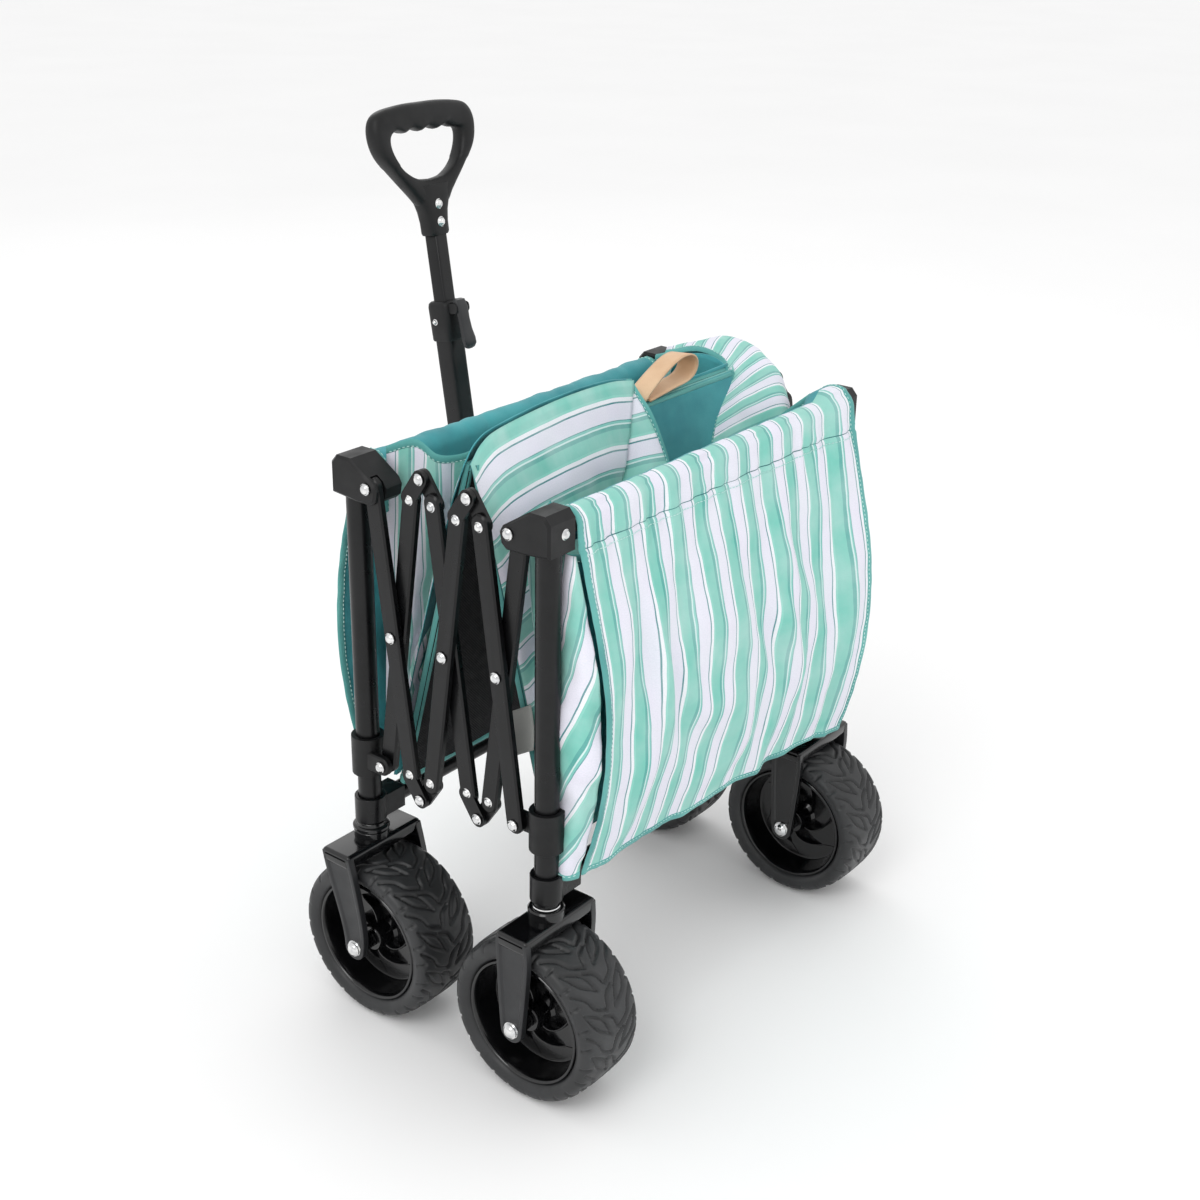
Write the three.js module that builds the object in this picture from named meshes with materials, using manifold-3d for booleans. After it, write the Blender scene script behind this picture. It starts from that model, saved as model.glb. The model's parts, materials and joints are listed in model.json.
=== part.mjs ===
// Folding beach cart, stored standing with its scissor frame nearly closed.
// Millimetres, +Z up, +Y towards the pull handle, -X the side called left.
import * as THREE from 'three';
import { mergeVertices } from 'three/addons/utils/BufferGeometryUtils.js';
import Module from 'manifold-3d';

const wasm = await Module();
wasm.setup();

// ---- driving dimensions -------------------------------------------------
const TRACK = 506; // between post axes, left to right
const WHEELBASE = 246; // between post axes, front to rear, as stored
const RIM = 638; // top of the corner caps
const CAP = 40; // side of a corner cap
const POST_R = 12.5;
const RAIL_R = 11;
const LOWER_RAIL_Z = 237;
const WHEEL_R = 92;
const TREAD = 86; // tyre width
const CROWN_Z = 204; // top of a fork's crown
const TRAIL = 23; // how far a caster's axle lies behind its post
const TUBE_W = 20; // a scissor bar's width
const TUBE_T = 9; // and its thickness
const LANE_OUT = TRACK / 2 + 9.5; // middle of the outer layer of bars
const LANE_IN = TRACK / 2 - 0.5; // middle of the inner layer
const INSET = 31.5; // from a post axis to the pivots beside it
const PIVOT_Z = 612; // upper corner pivots
const HALF_A = 157; // corner pivot to crossing
const HALF_B = 178; // crossing to knuckle pivot
const OFFSET = 11; // knuckle pivot to its tubes' centre lines
const FOLD = THREE.MathUtils.degToRad(11.36); // pivot lines' tilt as stored
const FLOOR_Z = 256; // floor hinge height
const FLOOR_INSET = 20; // from the front posts to the floor hinge
const BOARD = 400; // one floor board's length
const BOARD_T = 8;
const BOARD_HALF = 220; // half a floor board's width
const BOARD_TILT = THREE.MathUtils.degToRad(75.4);
const CLOTH = 2.5; // thickness of the cloth solids
const HANDLE_Y = WHEELBASE / 2 + 35;
const HANDLE_Z = 240;
const LEAN = THREE.MathUtils.degToRad(9.2);

const cart = new THREE.Group();

// ---- materials ----------------------------------------------------------
const paint = (color, roughness, metalness) =>
  new THREE.MeshStandardMaterial({ color, roughness, metalness });
const STEEL = paint(0x17181a, 0.38, 0.6);
const PLASTIC = paint(0x141415, 0.6, 0);
const GLOSS = paint(0x0c0c0d, 0.25, 0);
const RUBBER = paint(0x1d1d1e, 0.85, 0);
const STRIPE = paint(0x9fd3c4, 0.9, 0);
const LINING = paint(0x2fa7a0, 0.9, 0);
const WEBBING = paint(0xcdbb95, 0.9, 0);
const BLACK_BOARD = paint(0x101011, 0.8, 0);

// ---- solid helpers ------------------------------------------------------
function solid(geometry) {
  const bare = geometry.clone();
  bare.deleteAttribute('normal');
  bare.deleteAttribute('uv');
  const merged = mergeVertices(bare, 1e-4);
  return new wasm.Manifold(
    new wasm.Mesh({
      numProp: 3,
      vertProperties: new Float32Array(merged.attributes.position.array),
      triVerts: new Uint32Array(merged.index.array),
    })
  );
}

function toGeometry(shape) {
  const out = shape.getMesh();
  const geometry = new THREE.BufferGeometry();
  geometry.setAttribute('position', new THREE.BufferAttribute(out.vertProperties, 3));
  geometry.setIndex(new THREE.BufferAttribute(out.triVerts, 1));
  const flat = geometry.toNonIndexed();
  flat.computeVertexNormals();
  return flat;
}

const join = (...shapes) => shapes.reduce((all, next) => all.add(next));

function place(name, shape, material, parent = cart) {
  const mesh = new THREE.Mesh(toGeometry(shape), material);
  mesh.name = name;
  parent.add(mesh);
  return mesh;
}

// A box given by its low and high corners.
function block(low, high) {
  const [x, y, z] = low.map((v, i) => high[i] - v);
  const box = new THREE.BoxGeometry(x, y, z);
  return solid(box.translate(low[0] + x / 2, low[1] + y / 2, low[2] + z / 2));
}

// Cylinders along Z and along X, from one end to the other.
function rodZ(r, z0, z1, x = 0, y = 0, sides = 20) {
  const rod = new THREE.CylinderGeometry(r, r, z1 - z0, sides).rotateX(Math.PI / 2);
  return solid(rod.translate(x, y, (z0 + z1) / 2));
}

function rodX(r, x0, x1, y = 0, z = 0, sides = 16) {
  const rod = new THREE.CylinderGeometry(r, r, Math.abs(x1 - x0), sides).rotateZ(Math.PI / 2);
  return solid(rod.translate((x0 + x1) / 2, y, z));
}

// An outline drawn in (y, z) and extruded along X from x0 to x1.
function slabX(shape, x0, x1, bevel = 0) {
  const body = new THREE.ExtrudeGeometry(shape, {
    depth: Math.abs(x1 - x0) - 2 * bevel,
    bevelEnabled: bevel > 0,
    bevelThickness: bevel,
    bevelSize: bevel,
    bevelOffset: -bevel,
    bevelSegments: 1,
    curveSegments: 5,
  });
  body.translate(0, 0, Math.min(x0, x1) + bevel);
  const turn = new THREE.Matrix4().set(0, 0, 1, 0, 1, 0, 0, 0, 0, 1, 0, 0, 0, 0, 0, 1);
  return solid(body.applyMatrix4(turn));
}

// A round-ended strip between two points.
function capsule(a, b, r) {
  const along = Math.atan2(b.y - a.y, b.x - a.x);
  const shape = new THREE.Shape();
  shape.absarc(a.x, a.y, r, along + Math.PI / 2, along + 1.5 * Math.PI, false);
  shape.absarc(b.x, b.y, r, along - Math.PI / 2, along + Math.PI / 2, false);
  shape.closePath();
  return shape;
}

const at = (y, z) => new THREE.Vector2(y, z);
const SIDES = [['left', -1], ['right', 1]];
const ENDS = [['front', 1], ['rear', -1]];
const postX = (side) => (side * TRACK) / 2;
const postY = (end) => (end * WHEELBASE) / 2;
// The outer and inner layers of bars on one side: their low and high x.
const lane = (side, middle) => {
  const faces = [side * (middle - TUBE_T / 2), side * (middle + TUBE_T / 2)];
  return faces.sort((p, q) => p - q);
};
const rivet = (side, p, r = 6, from = LANE_OUT + TUBE_T / 2) =>
  rodX(r, side * (from - 0.5), side * (from + 2), p.x, p.y, 10);

// ---- scissor linkage ----------------------------------------------------
const SLANT = FOLD - Math.asin(OFFSET / HALF_B); // the tubes' own tilt
const step = (from, length, tilt, way, up) =>
  at(from.x + way * length * Math.sin(tilt), from.y + up * length * Math.cos(tilt));
const T0 = at(WHEELBASE / 2 - INSET, PIVOT_Z);
const M1 = step(T0, HALF_A, SLANT, -1, -1);
const B0 = step(M1, HALF_A, SLANT, 1, -1);
const T1 = step(M1, HALF_B, FOLD, -1, 1);
const B1 = step(M1, HALF_B, FOLD, -1, -1);
const M2 = step(B1, HALF_B, FOLD, -1, 1);
const T2 = step(M2, HALF_B, FOLD, -1, 1);
const B2 = step(M2, HALF_B, FOLD, -1, -1);
const M3 = step(T2, HALF_B, FOLD, -1, -1);
const B3 = step(M3, HALF_A, SLANT, -1, -1);
const T3 = step(M3, HALF_A, SLANT, -1, 1);

// One bar: a flat tube through its crossing, with a plain eye or a half-lapped
// knuckle at each end. The bar on the handle side of a knuckle has its outer half.
function bar(side, middle, crossing, ends, lean) {
  const [x0, x1] = lane(side, middle);
  const mid = (x0 + x1) / 2;
  const axis = at(lean * Math.sin(SLANT), Math.cos(SLANT));
  const marks = ends.map(({ pivot, knuckle }) => {
    const reach = pivot.clone().sub(crossing).dot(axis);
    return Math.sign(reach) * (Math.abs(reach) - (knuckle ? 14 + TUBE_W / 2 : 0));
  });
  const [a, b] = marks.map((s) => crossing.clone().addScaledVector(axis, s));
  let shape = slabX(capsule(a, b, TUBE_W / 2), x0, x1, 1.8);
  for (const { pivot, knuckle, front } of ends) {
    if (!knuckle) continue;
    const reach = pivot.clone().sub(crossing).dot(axis);
    const way = Math.sign(reach);
    const root = crossing.clone().addScaledVector(axis, reach - way * 25);
    const aside = pivot.clone().sub(root).addScaledVector(axis, -way * 25).normalize();
    root.addScaledVector(aside, -1.5);
    const outer = front ? 1 : -1;
    const faces = [mid + outer * side * 0.25, mid + (outer * side * TUBE_T) / 2];
    faces.sort((p, q) => p - q);
    shape = shape.add(slabX(capsule(root, pivot, 9), faces[0], faces[1]));
    if (front) shape = shape.add(rivet(side, pivot, 5.5, middle + TUBE_T / 2));
  }
  return shape;
}

const eye = (pivot) => ({ pivot });
const knuckle = (pivot, front) => ({ pivot, knuckle: true, front });
const BARS = [
  ['scissor_a1', LANE_OUT, M1, [eye(T0), knuckle(B1, true)], 1, [M1]],
  ['scissor_b1', LANE_IN, M1, [eye(B0), knuckle(T1, true)], -1, []],
  ['scissor_a2', LANE_OUT, M2, [knuckle(B1, false), knuckle(T2, true)], -1, [M2]],
  ['scissor_b2', LANE_IN, M2, [knuckle(T1, false), knuckle(B2, true)], 1, []],
  ['scissor_a3', LANE_OUT, M3, [knuckle(T2, false), eye(B3)], 1, [M3, B3]],
  ['scissor_b3', LANE_IN, M3, [knuckle(B2, false), eye(T3)], -1, []],
];
for (const [label, side] of SIDES) {
  for (const [name, middle, crossing, ends, lean, heads] of BARS) {
    let shape = bar(side, middle, crossing, ends, lean);
    for (const head of heads) shape = shape.add(rivet(side, head));
    place(`${name}_${label}`, shape, STEEL);
  }
}

// ---- corner posts, caps and sliding collars -----------------------------
function arm(side, end, pivot, middle, reach) {
  const [x0, x1] = lane(side, middle);
  return slabX(capsule(pivot, at(postY(end) - end * reach, pivot.y), 10.5), x0 + 0.3, x1 - 0.3, 1.5);
}

// A cap covers its post and the corner pivot; a slot below lets the bar swing.
function cap(side, end) {
  const x = postX(side);
  const out = Math.abs(x) + CAP / 2;
  const inwards = (d, z) => at(postY(end) - end * d, z);
  const base = RIM - CAP;
  const outline = new THREE.Shape([
    inwards(-17, base), inwards(-17, RIM - 8), inwards(-10, RIM), inwards(9, RIM),
    inwards(40, RIM - 20), inwards(44, RIM - 27), inwards(42, base + 2), inwards(36, base - 3),
    inwards(24, base - 3), inwards(17, base - 3),
  ]);
  const faces = [x - (side * CAP) / 2, side * out].sort((p, q) => p - q);
  const pivot = end > 0 ? T0 : T3;
  const [low, high] = lane(side, end > 0 ? LANE_OUT : LANE_IN);
  const open = end < 0 ? 30 : 0; // the rear bars lie inside, so their slot is open inwards
  const slot = [low - 0.4 - (side > 0 ? open : 0), high + 0.4 + (side > 0 ? 0 : open)];
  const swing = slabX(capsule(pivot, inwards(70, PIVOT_Z - 42), 11.2), slot[0], slot[1]);
  const drop = slabX(capsule(pivot, inwards(INSET, PIVOT_Z - 60), 11.2), slot[0], slot[1]);
  const shape = slabX(outline, faces[0], faces[1], 2.5).subtract(swing).subtract(drop);
  return shape.add(rivet(side, pivot, 6, out)).subtract(rodZ(POST_R + 0.3, 0, base, x, postY(end)));
}

function post(side, end) {
  const x = postX(side);
  const y = postY(end);
  const top = RIM - CAP - 0.4;
  const foot = end > 0 ? CROWN_Z + 8.5 : CROWN_Z + 10.4;
  const tube = rodZ(POST_R, foot, top, x, y);
  if (end < 0) return tube;
  return join(tube, rodZ(20, foot, foot + 4, x, y), rodZ(16, foot + 3, foot + 9, x, y));
}

function collar(side, end) {
  const x = postX(side);
  const y = postY(end);
  const pivot = end > 0 ? B0 : B3;
  const ring = rodZ(18, pivot.y - 20, pivot.y + 24, x, y);
  const ear = arm(side, end, pivot, end > 0 ? LANE_OUT : LANE_IN, 15);
  const bore = rodZ(POST_R + 0.5, pivot.y - 21, pivot.y + 25, x, y);
  const shape = ring.add(ear).subtract(bore);
  return end > 0 ? shape.add(rivet(side, pivot, 6, LANE_OUT + TUBE_T / 2 - 0.3)) : shape;
}

for (const [endName, end] of ENDS) {
  for (const [label, side] of SIDES) {
    place(`${endName}_post_${label}`, post(side, end), STEEL);
    place(`${endName}_cap_${label}`, cap(side, end), PLASTIC);
    place(`${endName}_slider_${label}`, collar(side, end), PLASTIC);
  }
}

// ---- rails between the posts --------------------------------------------
const TOP_RAIL_Z = RIM - CAP / 2;
function topRail(end) {
  const reach = TRACK / 2 - CAP / 2 - 0.4;
  return rodX(RAIL_R, -reach, reach, postY(end), TOP_RAIL_Z);
}

// The lower rail has a clamp round each post.
function lowerRail(end) {
  const y = postY(end);
  let shape = rodX(RAIL_R, -TRACK / 2, TRACK / 2, y, LOWER_RAIL_Z);
  for (const [, side] of SIDES) {
    const x = postX(side);
    const inner = [x - side * 40, x - side * 10].sort((p, q) => p - q);
    const socket = block([inner[0], y - 13, LOWER_RAIL_Z - 13], [inner[1], y + 13, LOWER_RAIL_Z + 13]);
    shape = join(shape, socket, rodZ(17, LOWER_RAIL_Z - 14, LOWER_RAIL_Z + 15, x, y));
    shape = shape.subtract(rodZ(POST_R + 0.3, LOWER_RAIL_Z - 30, LOWER_RAIL_Z + 30, x, y));
  }
  return shape;
}

for (const [endName, end] of ENDS) {
  place(`${endName}_top_rail`, topRail(end), STEEL);
  place(`${endName}_lower_rail`, lowerRail(end), STEEL);
}

// ---- forks and wheels ---------------------------------------------------
const LEG_IN = TREAD / 2 + 4.5;
const LEG_OUT = LEG_IN + 8;
// A fork and its axle bolt, round a post at the origin.
function fork(trail, bossTop) {
  let shape = block([-LEG_OUT, -20, CROWN_Z - 16], [LEG_OUT, 20, CROWN_Z]);
  shape = shape.add(rodZ(19, CROWN_Z - 2, bossTop, 0, 0, 16));
  for (const side of [-1, 1]) {
    const leg = new THREE.Shape([
      at(-20, CROWN_Z - 4), at(-18 - trail, WHEEL_R + 8), at(-12 - trail, WHEEL_R - 14),
      at(12 - trail, WHEEL_R - 14), at(18 - trail, WHEEL_R + 8), at(20, CROWN_Z - 4),
    ]);
    const spacer = rodX(9, side * (TREAD / 2 - 11), side * (LEG_IN + 1), -trail, WHEEL_R, 12);
    const nut = rodX(9, side * (LEG_OUT - 1), side * (LEG_OUT + 5), -trail, WHEEL_R, 6);
    shape = join(shape, slabX(leg, side * LEG_IN, side * LEG_OUT), spacer, nut);
  }
  return shape.add(rodX(5, -LEG_OUT, LEG_OUT, -trail, WHEEL_R, 12));
}

// A ring turned about X from (radius, x) points.
function turned(points, sides) {
  const profile = points.map(([r, x]) => new THREE.Vector2(r, x));
  profile.push(profile[0].clone());
  return solid(new THREE.LatheGeometry(profile, sides).rotateZ(-Math.PI / 2));
}

const HALF_TREAD = TREAD / 2;
const TYRE = turned([
  [70, -37], [79, -HALF_TREAD], [85, -42], [90, -34], [WHEEL_R, -20],
  [WHEEL_R, 20], [90, 34], [85, 42], [79, HALF_TREAD], [70, 37],
], 32);
const HUB = turned([
  [5.7, -30], [15, -30], [18, -8], [56, -8], [64, -36], [69.6, -38],
  [69.6, 38], [64, 36], [56, 8], [18, 8], [15, 30], [5.7, 30],
], 24);

for (const [endName, end] of ENDS) {
  for (const [label, side] of SIDES) {
    const trail = end > 0 ? TRAIL : 0;
    const corner = new THREE.Group();
    corner.position.set(postX(side), postY(end), 0);
    cart.add(corner);
    const bossTop = CROWN_Z + (end > 0 ? 8 : 10);
    place(`${endName}_fork_${label}`, fork(trail, bossTop), GLOSS, corner);
    for (const [part, shape, material] of [['tyre', TYRE, RUBBER], ['hub', HUB, GLOSS]]) {
      const wheel = place(`${endName}_${part}_${label}`, shape, material, corner);
      wheel.position.set(0, -trail, WHEEL_R);
    }
  }
}

// ---- floor boards and pull strap ----------------------------------------
const FLOOR_Y = WHEELBASE / 2 - FLOOR_INSET;
const PEAK_Y = FLOOR_Y - BOARD * Math.cos(BOARD_TILT);
const PEAK_Z = FLOOR_Z + BOARD * Math.sin(BOARD_TILT);
// A place on a board: s along it from its outer end, n out of its upper face.
function onBoard(end, s, n) {
  const y = FLOOR_Y - PEAK_Y - s * Math.cos(BOARD_TILT) + n * Math.sin(BOARD_TILT);
  return at(PEAK_Y + end * y, FLOOR_Z + s * Math.sin(BOARD_TILT) + n * Math.cos(BOARD_TILT));
}

for (const [endName, end] of ENDS) {
  const far = BOARD - 0.5;
  const corners = [[0, 0], [far, 0], [far, BOARD_T], [0, BOARD_T]].map(([s, n]) => onBoard(end, s, n));
  place(`floor_${endName}`, slabX(new THREE.Shape(corners), -BOARD_HALF, BOARD_HALF), BLACK_BOARD);
}

// A webbing loop that stands on the rear board's upper edge.
function pullStrap() {
  const arch = new THREE.Shape();
  arch.absarc(0, 0, 47, Math.PI, 0, true);
  arch.absarc(0, 0, 44.5, 0, Math.PI, false);
  arch.closePath();
  const band = new THREE.ExtrudeGeometry(arch, { depth: 25, bevelEnabled: false, curveSegments: 10 });
  band.rotateX(Math.PI / 2).scale(1, 1, 0.8);
  return solid(band.translate(90, PEAK_Y - 8, PEAK_Z + 6));
}
place('pull_strap', pullStrap(), WEBBING);

// ---- cloth: end flaps ---------------------------------------------------
const FLAP_HALF = 231;
const FLAP_FOOT = 262;
// Each flap is sleeved over its top rail and hangs outside, bellied outwards.
function flap(end, belly) {
  const y = (v) => postY(end) + end * v;
  const inner = RAIL_R + 1;
  const outer = inner + CLOTH;
  const drop = TOP_RAIL_Z - 14 - FLAP_FOOT;
  const hang = (u, offset) => {
    const out = inner + 4 + belly * Math.sin(Math.PI * Math.pow(u, 1.15));
    return at(y(out + offset), TOP_RAIL_Z - 14 - u * drop);
  };
  const rows = Array.from({ length: 9 }, (_, i) => i / 8);
  const arc = (r, k) => at(y(r * Math.cos(k)), TOP_RAIL_Z + r * Math.sin(k));
  const turns = Array.from({ length: 9 }, (_, i) => (Math.PI * i) / 8);
  const outside = rows.map((u) => hang(u, CLOTH)).reverse();
  const inside = rows.map((u) => hang(u, 0));
  const over = turns.map((k) => arc(outer, k));
  const under = turns.map((k) => arc(inner, k)).reverse();
  const hem = [at(y(-outer), TOP_RAIL_Z - 20), at(y(-inner), TOP_RAIL_Z - 20)];
  const outline = [...outside, ...over, ...hem, ...under, ...inside];
  return slabX(new THREE.Shape(outline), -FLAP_HALF, FLAP_HALF);
}
place('front_flap', flap(1, 20), STRIPE);
place('rear_flap', flap(-1, 34), STRIPE);

// ---- cloth: side walls, folded inwards as gussets ------------------------
// A sheet fanned from one corner over the other points, thickened along a way.
function sheet(fan, way) {
  const [a, b, c] = fan;
  const facing = b.clone().sub(a).cross(c.clone().sub(a)).dot(way);
  const points = facing > 0 ? fan : [a, ...fan.slice(1).reverse()];
  const count = points.length;
  const half = way.clone().setLength(CLOTH / 2);
  const skin = [-1, 1].flatMap((k) => points.map((p) => p.clone().addScaledVector(half, k)));
  const faces = [];
  for (let i = 1; i < count - 1; i += 1) {
    faces.push(0, i + 1, i, count, count + i, count + i + 1);
  }
  for (let i = 0; i < count; i += 1) {
    const next = (i + 1) % count;
    faces.push(i, next, count + next, i, count + next, count + i);
  }
  const geometry = new THREE.BufferGeometry().setFromPoints(skin);
  geometry.setIndex(faces);
  return solid(geometry);
}

const SIDE_X = 230;
const MIDDLE_Y = PEAK_Y;
// The half of a side wall that hangs from a post: down the post, then inwards.
function postGusset(side, end) {
  const y = (v) => MIDDLE_Y + end * (v - MIDDLE_Y);
  const point = (x, v, z) => new THREE.Vector3(side * x, y(v), z);
  const near = [point(-140, 38, RIM)];
  const far = [point(180, 28, RIM), point(-150, 22, RIM)];
  const rim = side < 0 ? near : far;
  const post = [point(SIDE_X, 121.5, FLOOR_Z + 8), point(SIDE_X, 105, RIM)];
  return sheet([...post, ...rim], new THREE.Vector3(0, 1, 0));
}

// The half that is sewn to a board's side edge and lies over the board.
function boardGusset(side, end) {
  const n = side < 0 ? BOARD_T + 2.3 : BOARD_T + 6.3;
  const point = (x, s) => {
    const p = onBoard(end, s, n);
    return new THREE.Vector3(side * x, p.x, p.y);
  };
  const points = [point(BOARD_HALF + 3, 4), point(BOARD_HALF + 3, BOARD - 4), point(-146, BOARD - 8)];
  const up = onBoard(end, 0, 1).sub(onBoard(end, 0, 0));
  return sheet(points, new THREE.Vector3(0, up.x, up.y));
}

for (const [endName, end] of ENDS) {
  for (const [label, side] of SIDES) {
    place(`side_${endName}_${label}_post_panel`, postGusset(side, end), STRIPE);
    place(`side_${endName}_${label}_floor_panel`, boardGusset(side, end), LINING);
  }
}

// ---- pull handle --------------------------------------------------------
const pole = new THREE.Group();
pole.position.set(0, HANDLE_Y, HANDLE_Z);
pole.rotation.x = -LEAN;
cart.add(pole);
const LATCH_S = 470; // the lower tube's mouth, along the pole
const SLEEVE_R = 9.5; // the upper tube
const NECK_S = 572; // the grip's lower end

function handleBracket() {
  const back = postY(1) + RAIL_R + 1.3;
  let shape = block([-21, back, 223], [21, back + 5, 253]);
  for (const side of [-1, 1]) {
    const cheek = capsule(at(back + 4, HANDLE_Z), at(HANDLE_Y, HANDLE_Z), 12.5);
    const outer = slabX(cheek, side * 15, side * 21);
    shape = join(shape, outer, rodX(7, side * 20, side * 25.5, HANDLE_Y, HANDLE_Z, 6));
  }
  return shape.subtract(block([-40, 0, 200], [40, back, 280]));
}
place('handle_bracket', handleBracket(), STEEL);

function lowerTube() {
  const tube = join(rodX(12, -14, 14), rodZ(POST_R, 6, LATCH_S));
  return tube.subtract(rodZ(SLEEVE_R + 0.4, 30, LATCH_S + 1));
}
place('handle_lower_tube', lowerTube(), STEEL, pole);

function latchHousing() {
  const body = rodZ(17, LATCH_S - 20, LATCH_S + 22);
  const bridge = block([-9, -20.5, LATCH_S + 4], [9, 0, LATCH_S + 20]);
  const shape = join(body, bridge);
  const socket = rodZ(POST_R + 0.3, LATCH_S - 21, LATCH_S + 0.4);
  return shape.subtract(socket).subtract(rodZ(SLEEVE_R + 0.4, LATCH_S - 2, LATCH_S + 30));
}
place('handle_latch_housing', latchHousing(), PLASTIC, pole);

function latchLever() {
  const top = at(-25.6, LATCH_S + 17.5);
  const outline = new THREE.Shape([
    at(-28, LATCH_S + 20), at(-22.6, LATCH_S + 20), at(-22.6, LATCH_S - 8),
    at(-24, LATCH_S - 20), at(-30, LATCH_S - 22), at(-29, LATCH_S + 4),
  ]);
  return slabX(outline, -8, 8, 1).add(rodX(2.4, -9, 9, top.x, top.y, 10));
}
place('handle_latch_lever', latchLever(), PLASTIC, pole);

place('handle_upper_tube', rodZ(SLEEVE_R, 110, NECK_S + 24), STEEL, pole);

// A D-shaped grip with a waved finger side, on a flat neck.
function grip() {
  const ring = new THREE.Shape();
  ring.moveTo(78, 665);
  ring.absellipse(0, 665, 78, 70, 0, -Math.PI, true);
  ring.quadraticCurveTo(-78, 690, -58, 698);
  ring.quadraticCurveTo(0, 708, 58, 698);
  ring.quadraticCurveTo(78, 690, 78, 665);
  const hole = new THREE.Path();
  hole.moveTo(-54, 665);
  hole.absellipse(0, 665, 54, 50, Math.PI, 2 * Math.PI, false);
  hole.quadraticCurveTo(56, 675, 46, 675);
  for (const x of [23, 0, -23, -46]) {
    hole.quadraticCurveTo(x + 11.5, 683, x, 675);
  }
  hole.quadraticCurveTo(-56, 675, -54, 665);
  ring.holes.push(hole);
  const bevel = { bevelEnabled: true, bevelThickness: 4, bevelSize: 4, bevelOffset: -4, bevelSegments: 1 };
  const body = new THREE.ExtrudeGeometry(ring, { depth: 20, curveSegments: 8, ...bevel });
  const taper = new THREE.Shape([[-24, 612], [-16, NECK_S], [16, NECK_S], [24, 612]].map((p) => at(...p)));
  const neck = new THREE.ExtrudeGeometry(taper, { depth: 18, ...bevel });
  body.rotateX(Math.PI / 2).translate(0, 10, 0);
  neck.rotateX(Math.PI / 2).translate(0, 9, 0);
  const socket = rodZ(SLEEVE_R + 0.3, NECK_S - 12, NECK_S + 24.4);
  return solid(body).add(solid(neck)).subtract(socket);
}
place('handle_grip', grip(), PLASTIC, pole);

// Stand the whole cart over the origin.
const extent = new THREE.Box3().setFromObject(cart);
const centre = extent.getCenter(new THREE.Vector3());
cart.position.set(-centre.x, -centre.y, -extent.min.z);
cart.updateMatrixWorld(true);

export default cart;
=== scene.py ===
"""Looks of the folding beach cart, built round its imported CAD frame.

Lengths in the shape functions are millimetres in the drawing frame of the part;
to_row() turns them into metres in the row frame.
"""
import json
import math
from collections import defaultdict

import bmesh
import bpy
import numpy as np
from mathutils import Matrix, Vector, noise
from mathutils.kdtree import KDTree


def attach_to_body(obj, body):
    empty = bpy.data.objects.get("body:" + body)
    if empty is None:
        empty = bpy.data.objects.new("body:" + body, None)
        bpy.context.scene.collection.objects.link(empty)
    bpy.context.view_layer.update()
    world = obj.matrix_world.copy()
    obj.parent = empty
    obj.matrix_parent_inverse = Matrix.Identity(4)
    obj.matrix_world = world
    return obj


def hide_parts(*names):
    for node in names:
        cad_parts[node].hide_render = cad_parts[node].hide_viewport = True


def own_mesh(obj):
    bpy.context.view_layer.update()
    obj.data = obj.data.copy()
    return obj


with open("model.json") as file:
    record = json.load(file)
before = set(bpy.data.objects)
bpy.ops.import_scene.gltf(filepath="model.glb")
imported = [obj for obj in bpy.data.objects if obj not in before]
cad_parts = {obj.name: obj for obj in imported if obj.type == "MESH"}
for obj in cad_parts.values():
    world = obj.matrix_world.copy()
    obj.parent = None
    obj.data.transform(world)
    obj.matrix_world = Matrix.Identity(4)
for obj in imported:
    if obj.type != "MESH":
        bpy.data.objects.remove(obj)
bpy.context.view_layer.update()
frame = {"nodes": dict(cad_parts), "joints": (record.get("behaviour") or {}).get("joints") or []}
scene = bpy.context.scene
JOINTS = {j["name"]: np.array(j["pos_m"]) * 1000 for j in frame["joints"] if "pos_m" in j}
T0_Y = 91.5  # the front corner pivot in the drawing frame
SHIFT = np.array([0, JOINTS["fold"][1] - T0_Y, 0])
SIDES = {"left": -1, "right": 1}
ENDS = {"front": 1, "rear": -1}
POST_X, POST_Y, POST_R = 253.0, 123.0, 12.5  # a post's centre line and radius
RAIL_Z = 618.0  # centre line of the top rails
WHEEL_R = 92.0
CROWN_Z = 204.0  # top of the forks
TRAIL = 23.0  # from a caster's post back to its axle
UP = (0, 0, 1)


def to_row(points):
    return (np.asarray(points, float).reshape(-1, 3) + SHIFT) / 1000


# ---- materials ----
def linear(text):
    srgb = np.array([int(text[i : i + 2], 16) / 255 for i in (0, 2, 4)])
    rgb = np.where(srgb < 0.04045, srgb / 12.92, ((srgb + 0.055) / 1.055) ** 2.4)
    return (*rgb, 1.0)


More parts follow.
